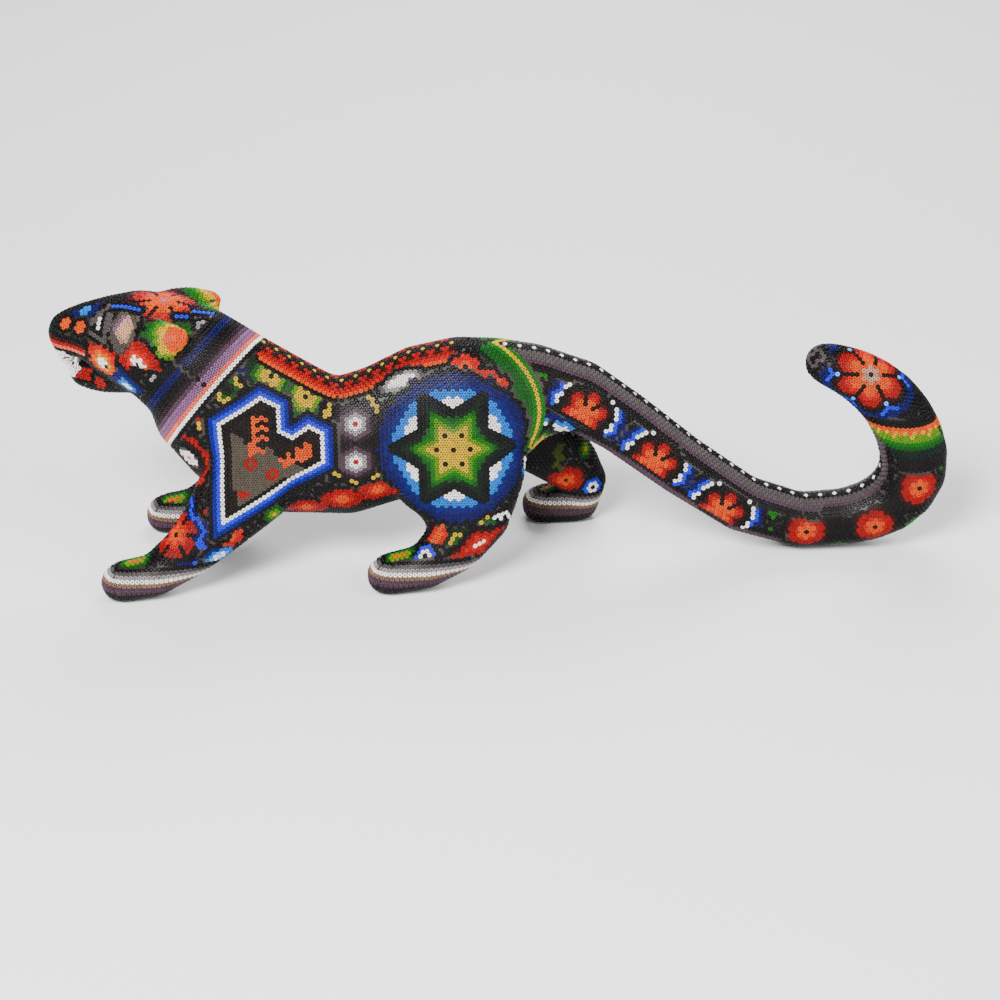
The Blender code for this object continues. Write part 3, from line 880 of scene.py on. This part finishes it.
BANDS = [  # start, heading, its plane's normal, where it ends, rows above and below, painter;
           # the end is told from the shares of the figure's length and height
    ((-126.5, -24.0, 99.7), (0.6, 0.0, 0.74), (0.74, -0.32, -0.60), None, 10, 0, collar),
    ((-104.0, MIDDLE, 111.0), (1, 0, 0), (0, 1, 0), lambda x, z: x > -0.065, 6, 6, spine),
    ((-5.0, MIDDLE, 106.0), (1, -1, 0), (0.71, 0.71, 0), lambda x, z: z < 0.5, 0, 11, rump),
    ((-5.0, MIDDLE, 106.0), (1, 1, 0), (0.71, -0.71, 0), lambda x, z: z < 0.5, 11, 0, rump),
    ((0.0, MIDDLE, 105.5), (1, 0, 0), (0, 1, 0), lambda x, z: x > 0.375 and z > 0.48, 6, 6, tail_top),
    ((30.0, MIDDLE, 60.0), (1, 0, 0), (0, 1, 0), lambda x, z: x > 0.30, 7, 7, tail_under),
    ((197.0, -4.0, 67.0), (0, 1, 0), (0, 0, 1), None, 1, 10, tail_ring),
    ((-181.0, -31.0, 14.0), (0, -1, 0), (0, 0, 1), None, 2, 7, paw),
    ((-164.5, 30.0, 12.0), (0, -1, 0), (0, 0, 1), None, 2, 7, paw),
    ((-63.0, -31.0, 14.0), (0, -1, 0), (0, 0, 1), None, 2, 7, paw),
    ((11.0, 30.0, 13.0), (0, -1, 0), (0, 0, 1), None, 2, 7, paw),
    ((-185.0, -4.0, 109.5), (-1, 0, 0), (0, 0, 1), lambda x, z: x > -0.45, 2, 3, upper_lip),
    ((-184.0, 4.0, 93.0), (-1, 0, 0), (0, 0, 1), lambda x, z: x > -0.455, 1, 1, lower_lip),
]


def placed(point, size):
    """A place given on the figure as drawn, scaled to the size in the frame."""
    return Vector([value / drawn * whole for value, drawn, whole in zip(point, DRAWN, size)])


def walk(surface, start, heading, normal, done, size):
    """Places one pitch apart along the line where a plane cuts the surface, until done or round."""
    normal = Vector(normal).normalized()
    origin, up = surface.put(start)
    path, way, pace = [origin], Vector(heading), 0.25 * PITCH
    while len(path) < 2400:
        point = path[-1]
        way = (way - normal * way.dot(normal)).normalized()
        step = point + way * pace
        for turn in range(3):
            step = step - normal * (step - origin).dot(normal)
            step, up = surface.put(step)
        way = step - point
        if way.length < 0.05 * pace:
            break
        path.append(step)
        if len(path) > 12 and (step - origin).length < 0.6 * pace:
            return spaced(path, True)
        if done and done(step.x / size.x, step.z / size.z):
            break
    return spaced(path, False)


def spaced(path, closed):
    """The same line in steps of one pitch."""
    lengths = [0.0]
    for a, b in zip(path[:-1], path[1:]):
        lengths.append(lengths[-1] + (b - a).length)
    count = max(2, round(lengths[-1] / PITCH))
    places, k = [], 0
    for i in range(count if closed else count + 1):
        goal = lengths[-1] * i / count
        while k < len(path) - 2 and lengths[k + 1] < goal:
            k += 1
        share = (goal - lengths[k]) / max(lengths[k + 1] - lengths[k], 1e-9)
        places.append(path[k].lerp(path[k + 1], min(1.0, share)))
    return places


# ---- the beads themselves ----------------------------------------------------------------------

def bead_form(around, across):
    """One ring-shaped bead of outer radius 1: its vertices and faces, hole along Z."""
    tube = (1.0 - BEAD_HOLE) / 2.0
    middle = 1.0 - tube
    tall = BEAD_HEIGHT / PITCH
    verts, faces = [], []
    for i in range(around):
        a = 2.0 * math.pi * i / around
        for j in range(across):
            b = 2.0 * math.pi * (j + 0.5) / across
            round_off = abs(math.sin(b)) ** 0.8 * math.copysign(1.0, math.sin(b))
            r = middle + tube * math.cos(b)
            verts.append((r * math.cos(a), r * math.sin(a), tall * round_off))
    for i in range(around):
        for j in range(across):
            i1, j1 = (i + 1) % around, (j + 1) % across
            faces.append((i * across + j, i1 * across + j, i1 * across + j1, i * across + j1))
    return np.array(verts), np.array(faces)


def linear(value):
    """A palette value as scene light, deepened against the view's paling of strong colours."""
    value = (value / 255.0) ** 1.4
    return value / 12.92 if value <= 0.04045 else ((value + 0.055) / 1.055) ** 2.4


def bead_piece(name, beads, material, dice):
    """One mesh of many separate beads, each with its own colour and its own square of the map."""
    form, quads = bead_form(10, 6)
    count = len(beads)
    verts = np.empty((count, len(form), 3))
    colours = np.empty((count, 4))
    for k, (place, normal, way, colour) in enumerate(beads):
        lean = Vector((dice.gauss(0, 0.07), dice.gauss(0, 0.07), dice.gauss(0, 0.07)))
        up = (normal + lean).normalized()
        side = (way - up * way.dot(up)).normalized()
        basis = np.array([side, up.cross(side), up])
        size = 0.5 * PITCH * dice.uniform(0.955, 1.0)
        verts[k] = np.array(place - normal * 0.5 * BEAD_HEIGHT) + (form * size) @ basis
        shade = dice.gauss(1.0, 0.07)
        colours[k] = [linear(c) * shade for c in COLOURS[colour]] + [1.0]
    faces = (quads[None] + (np.arange(count) * len(form))[:, None, None]).reshape(-1, 4)
    mesh = bpy.data.meshes.new(name)
    mesh.vertices.add(count * len(form))
    mesh.vertices.foreach_set("co", verts.reshape(-1))
    mesh.loops.add(faces.size)
    mesh.loops.foreach_set("vertex_index", faces.reshape(-1))
    mesh.polygons.add(len(faces))
    mesh.polygons.foreach_set("loop_start", np.arange(len(faces)) * 4)
    mesh.update(calc_edges=True)
    paint = mesh.attributes.new("bead", "FLOAT_COLOR", "POINT")
    paint.data.foreach_set("color", np.repeat(colours, len(form), axis=0).reshape(-1))
    chart = mesh.uv_layers.new(name="OFBake")
    side = math.ceil(math.sqrt(count))
    flat = form[quads.reshape(-1)]
    spread = np.stack([flat[:, 0], flat[:, 1]], axis=1) * (0.5 - 0.12 * (flat[:, 2:3] < 0)) * 0.8
    cells = np.stack([np.arange(count) % side, np.arange(count) // side], axis=1) + 0.5
    chart.data.foreach_set("uv", ((cells[:, None] + spread[None]) / side).reshape(-1))
    mesh.polygons.foreach_set("use_smooth", np.ones(len(faces), dtype=bool))
    mesh.validate()
    thing = bpy.data.objects.new(name, mesh)
    bpy.context.scene.collection.objects.link(thing)
    mesh.materials.append(material)
    return thing


# ---- materials ---------------------------------------------------------------------------------

def new_material(name):
    material = bpy.data.materials.new(name)
    material.use_nodes = True
    nodes, links = material.node_tree.nodes, material.node_tree.links
    return material, nodes, links, nodes["Principled BSDF"]


def noise(nodes, links, scale, detail=4.0, stretch=(1.0, 1.0, 1.0)):
    """Noise in the object's own coordinates, in metres."""
    coords = nodes.new("ShaderNodeTexCoord")
    mapping = nodes.new("ShaderNodeMapping")
    mapping.inputs["Scale"].default_value = stretch
    texture = nodes.new("ShaderNodeTexNoise")
    texture.inputs["Scale"].default_value = scale
    texture.inputs["Detail"].default_value = detail
    links.new(coords.outputs["Object"], mapping.inputs["Vector"])
    links.new(mapping.outputs["Vector"], texture.inputs["Vector"])
    return texture.outputs["Fac"]


def spread_of(nodes, links, source, low, high):
    """The noise, spread over a range."""
    node = nodes.new("ShaderNodeMapRange")
    node.inputs["From Min"].default_value = 0.3
    node.inputs["From Max"].default_value = 0.7
    node.inputs["To Min"].default_value = low
    node.inputs["To Max"].default_value = high
    links.new(source, node.inputs["Value"])
    return node.outputs["Result"]


def bumped(nodes, links, shader, source, strength, distance):
    bump = nodes.new("ShaderNodeBump")
    bump.inputs["Strength"].default_value = strength
    bump.inputs["Distance"].default_value = distance
    links.new(source, bump.inputs["Height"])
    links.new(bump.outputs["Normal"], shader.inputs["Normal"])


def glass_beads():
    """Opaque glass: the bead's own colour, a little cloudy, with a polished skin."""
    material, nodes, links, shader = new_material("glass beads")
    own = nodes.new("ShaderNodeAttribute")
    own.attribute_name = "bead"
    cloud = noise(nodes, links, 900.0)
    tone = nodes.new("ShaderNodeMix")
    tone.data_type = "RGBA"
    tone.blend_type = "MULTIPLY"
    tone.inputs["Factor"].default_value = 1.0
    ramp = nodes.new("ShaderNodeValToRGB")
    ramp.color_ramp.elements[0].position = 0.3
    ramp.color_ramp.elements[0].color = (0.86, 0.86, 0.86, 1.0)
    ramp.color_ramp.elements[1].position = 0.7
    ramp.color_ramp.elements[1].color = (1.0, 1.0, 1.0, 1.0)
    links.new(cloud, ramp.inputs["Fac"])
    links.new(own.outputs["Color"], tone.inputs["A"])
    links.new(ramp.outputs["Color"], tone.inputs["B"])
    links.new(tone.outputs["Result"], shader.inputs["Base Color"])
    links.new(spread_of(nodes, links, cloud, 0.24, 0.40), shader.inputs["Roughness"])
    bumped(nodes, links, shader, cloud, 0.15, 0.05 * MM)
    shader.inputs["IOR"].default_value = 1.52
    shader.inputs["Specular IOR Level"].default_value = 0.16
    shader.inputs["Coat Weight"].default_value = 0.03
    shader.inputs["Coat Roughness"].default_value = 0.12
    return material


def two_tone(name, light, dark, scale, stretch, rough, bump, depth):
    """A plain material with two tones of one colour, and roughness and bump from the same noise."""
    material, nodes, links, shader = new_material(name)
    grain = noise(nodes, links, scale, 6.0, stretch)
    ramp = nodes.new("ShaderNodeValToRGB")
    ramp.color_ramp.elements[0].position = 0.35
    ramp.color_ramp.elements[0].color = (*dark, 1.0)
    ramp.color_ramp.elements[1].position = 0.68
    ramp.color_ramp.elements[1].color = (*light, 1.0)
    links.new(grain, ramp.inputs["Fac"])
    links.new(ramp.outputs["Color"], shader.inputs["Base Color"])
    links.new(spread_of(nodes, links, grain, *rough), shader.inputs["Roughness"])
    bumped(nodes, links, shader, grain, bump, depth)
    return material


# ---- laying the beadwork -----------------------------------------------------------------------

def main():
    dice = random.Random(SEED)
    scene = bpy.context.scene
    low, high = Vector(cad_box[0]), Vector(cad_box[1])
    size = high - low
    solid = [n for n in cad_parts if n.endswith(("_beads", "_wax", "_core", "_fang"))]
    whole = one_surface(solid)
    skin = Surface(whole, -SWELL)

    motifs = []
    for place, lean, turn, reach, painter in BODY_MOTIFS:
        other = (place[0], 2.0 * MIDDLE - place[1], place[2])
        motifs.append((place, lean, turn, reach, painter, NEAR))
        motifs.append((other, lean, turn, reach, painter, FAR))
    for place, lean, turn, reach, painter in OTHER_MOTIFS:
        point, normal = skin.put(placed(place, size))
        motifs.append((place, lean, turn, reach, painter, FAR if normal.y > 0.3 else NEAR))

    seeds, looks = [], []
    for place, lean, turn, reach, painter, side in motifs:
        point, normal = skin.put(placed(place, size))
        along = Vector((-side, 0.0, 0.0))
        along = (along - normal * along.dot(normal)).normalized()
        across = normal.cross(along)
        angle = math.radians(-side * (lean + turn))
        way = along * math.cos(angle) + across * math.sin(angle)
        rank = 0 if reach > BIG else (1 if reach > MIDDLING else 2)
        seeds.append(([point], [way], reach, rank, False))
        looks.append((painter, -side * turn, side))

    for start, heading, normal, done, above, below, painter in BANDS:
        line = walk(skin, placed(start, size), heading, normal, done, size)
        ways = [line[min(k + 1, len(line) - 1)] - line[max(k - 1, 0)] for k in range(len(line))]
        seeds.append((line, ways, (above, below), 1, True))
        looks.append((painter, 0.0, NEAR))

    def colour_of(motif, a, b):
        """The colour that a motif or band gives its bead a steps along and b rows up, if any."""
        painter, turn, side = looks[motif]
        if seeds[motif][4]:
            return painter(b, a + 0.5 * b) if -1 < a + 0.5 * b <= len(seeds[motif][0]) else None
        x, y, angle = a + 0.5 * b, ROW * b, math.radians(turn)
        return painter(-side * (x * math.cos(angle) - y * math.sin(angle)),
                       x * math.sin(angle) + y * math.cos(angle))

    packing = Packing(skin)
    packing.grow(seeds, colour_of)
    packing.relax(3)
    packing.fill(0.84)
    packing.relax(4)
    packing.fill(0.86)
    packing.relax(2)

    colours = []
    for motif, (a, b) in zip(packing.motifs, packing.steps):
        colours.append((colour_of(motif, a, b) if motif >= 0 else None) or "black")

    glass = glass_beads()
    wax = two_tone("beeswax", (0.018, 0.010, 0.006), (0.007, 0.004, 0.003), 60.0, (1, 1, 1),
                   (0.42, 0.62), 0.3, 0.1 * MM)
    wood = two_tone("carved wood", (0.52, 0.36, 0.20), (0.34, 0.21, 0.11), 25.0, (0.25, 1.6, 1.6),
                    (0.5, 0.72), 0.35, 0.2 * MM)
    peg = two_tone("dowel wood", (0.60, 0.44, 0.27), (0.42, 0.29, 0.16), 45.0, (1.6, 1.6, 0.25),
                   (0.5, 0.7), 0.3, 0.15 * MM)

    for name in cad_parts:
        finish = wax if name.endswith("_wax") else wood if name.endswith("_core") else peg
        if name.endswith(("_wax", "_core", "_dowel", "_peg")):
            slots = bpy.data.objects[name].material_slots
            for k in range(len(slots)):
                slots[k].material = finish

    trees = {}
    for name in SKINS + FANGS:
        bm = cad_copy(name, 0.0)
        trees[name] = BVHTree.FromBMesh(bm)
        bm.free()
    groups = {name: [] for name in SKINS + FANGS}
    for index, place in enumerate(packing.places):
        best = min(groups, key=lambda n: (trees[n].find_nearest(place)[3]))
        if best in FANGS:
            colours[index] = "white"
        groups[best].append((place, packing.normals[index], packing.ways[index], colours[index]))
    for name, beads in groups.items():
        beads.sort(key=lambda bead: bead[0].x)
        parts = math.ceil(len(beads) / PIECE_LIMIT)
        for part in range(parts):
            chosen = beads[len(beads) * part // parts:len(beads) * (part + 1) // parts]
            title = name.replace("_beads", "") + "_seed_beads"
            title += f"_{part + 1}" if parts > 1 else ""
            piece = bead_piece(title, chosen, glass, dice)
            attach(piece, "root")
            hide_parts(name)

    bed = Surface(whole, -SINK)
    mesh = bpy.data.meshes.new("wax_bed")
    mesh.from_pydata([tuple(p) for p in bed.places], [], bed.faces)
    mesh.polygons.foreach_set("use_smooth", np.ones(len(mesh.polygons), dtype=bool))
    mesh.materials.append(wax)
    thing = bpy.data.objects.new("wax_bed", mesh)
    scene.collection.objects.link(thing)
    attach(thing, "root")
    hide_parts(*[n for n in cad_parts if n.endswith("_wax")])

    camera_and_light(size)


def camera_and_light(size):
    scene = bpy.context.scene
    rise, swing = math.radians(28.0), math.radians(-3.0)
    back = Vector((math.sin(swing) * math.cos(rise), -math.cos(swing) * math.cos(rise), math.sin(rise)))
    target = Vector((0.0, 0.0, 0.437 * size.z))
    camera = bpy.data.objects.new("camera", bpy.data.cameras.new("camera"))
    camera.location = target + back * 3.0 * size.x
    camera.rotation_euler = back.to_track_quat("Z", "Y").to_euler()
    camera.data.sensor_width = 36.0
    camera.data.lens = 36.0 * 3.0 / 1.116
    camera.data.shift_x = -0.005
    camera.data.shift_y = -0.059
    scene.collection.objects.link(camera)
    scene.camera = camera

    floor_mesh = bpy.data.meshes.new("floor")
    bm = bmesh.new()
    bmesh.ops.create_grid(bm, x_segments=1, y_segments=1, size=4.0)
    bm.to_mesh(floor_mesh)
    bm.free()
    floor = bpy.data.objects.new("floor", floor_mesh)
    scene.collection.objects.link(floor)
    material, nodes, links, shader = new_material("pale floor")
    shader.inputs["Base Color"].default_value = (0.9, 0.9, 0.9, 1.0)
    shader.inputs["Roughness"].default_value = 0.9
    floor_mesh.materials.append(material)

    world = bpy.data.worlds.new("studio")
    world.use_nodes = True
    world.node_tree.nodes["Background"].inputs["Color"].default_value = (1.0, 1.0, 1.0, 1.0)
    world.node_tree.nodes["Background"].inputs["Strength"].default_value = 0.2
    scene.world = world
    for name, place, power, width in (("key", (-0.5, -0.9, 1.1), 48.0, 0.5),
                                      ("fill", (0.9, -0.7, 0.7), 15.0, 0.9),
                                      ("back", (0.1, 0.9, 1.0), 18.0, 0.8)):
        light = bpy.data.lights.new(name, "AREA")
        light.energy = power
        light.size = width
        lamp = bpy.data.objects.new(name, light)
        lamp.location = place
        lamp.rotation_euler = (Vector(place) - target).to_track_quat("Z", "Y").to_euler()
        scene.collection.objects.link(lamp)


main()
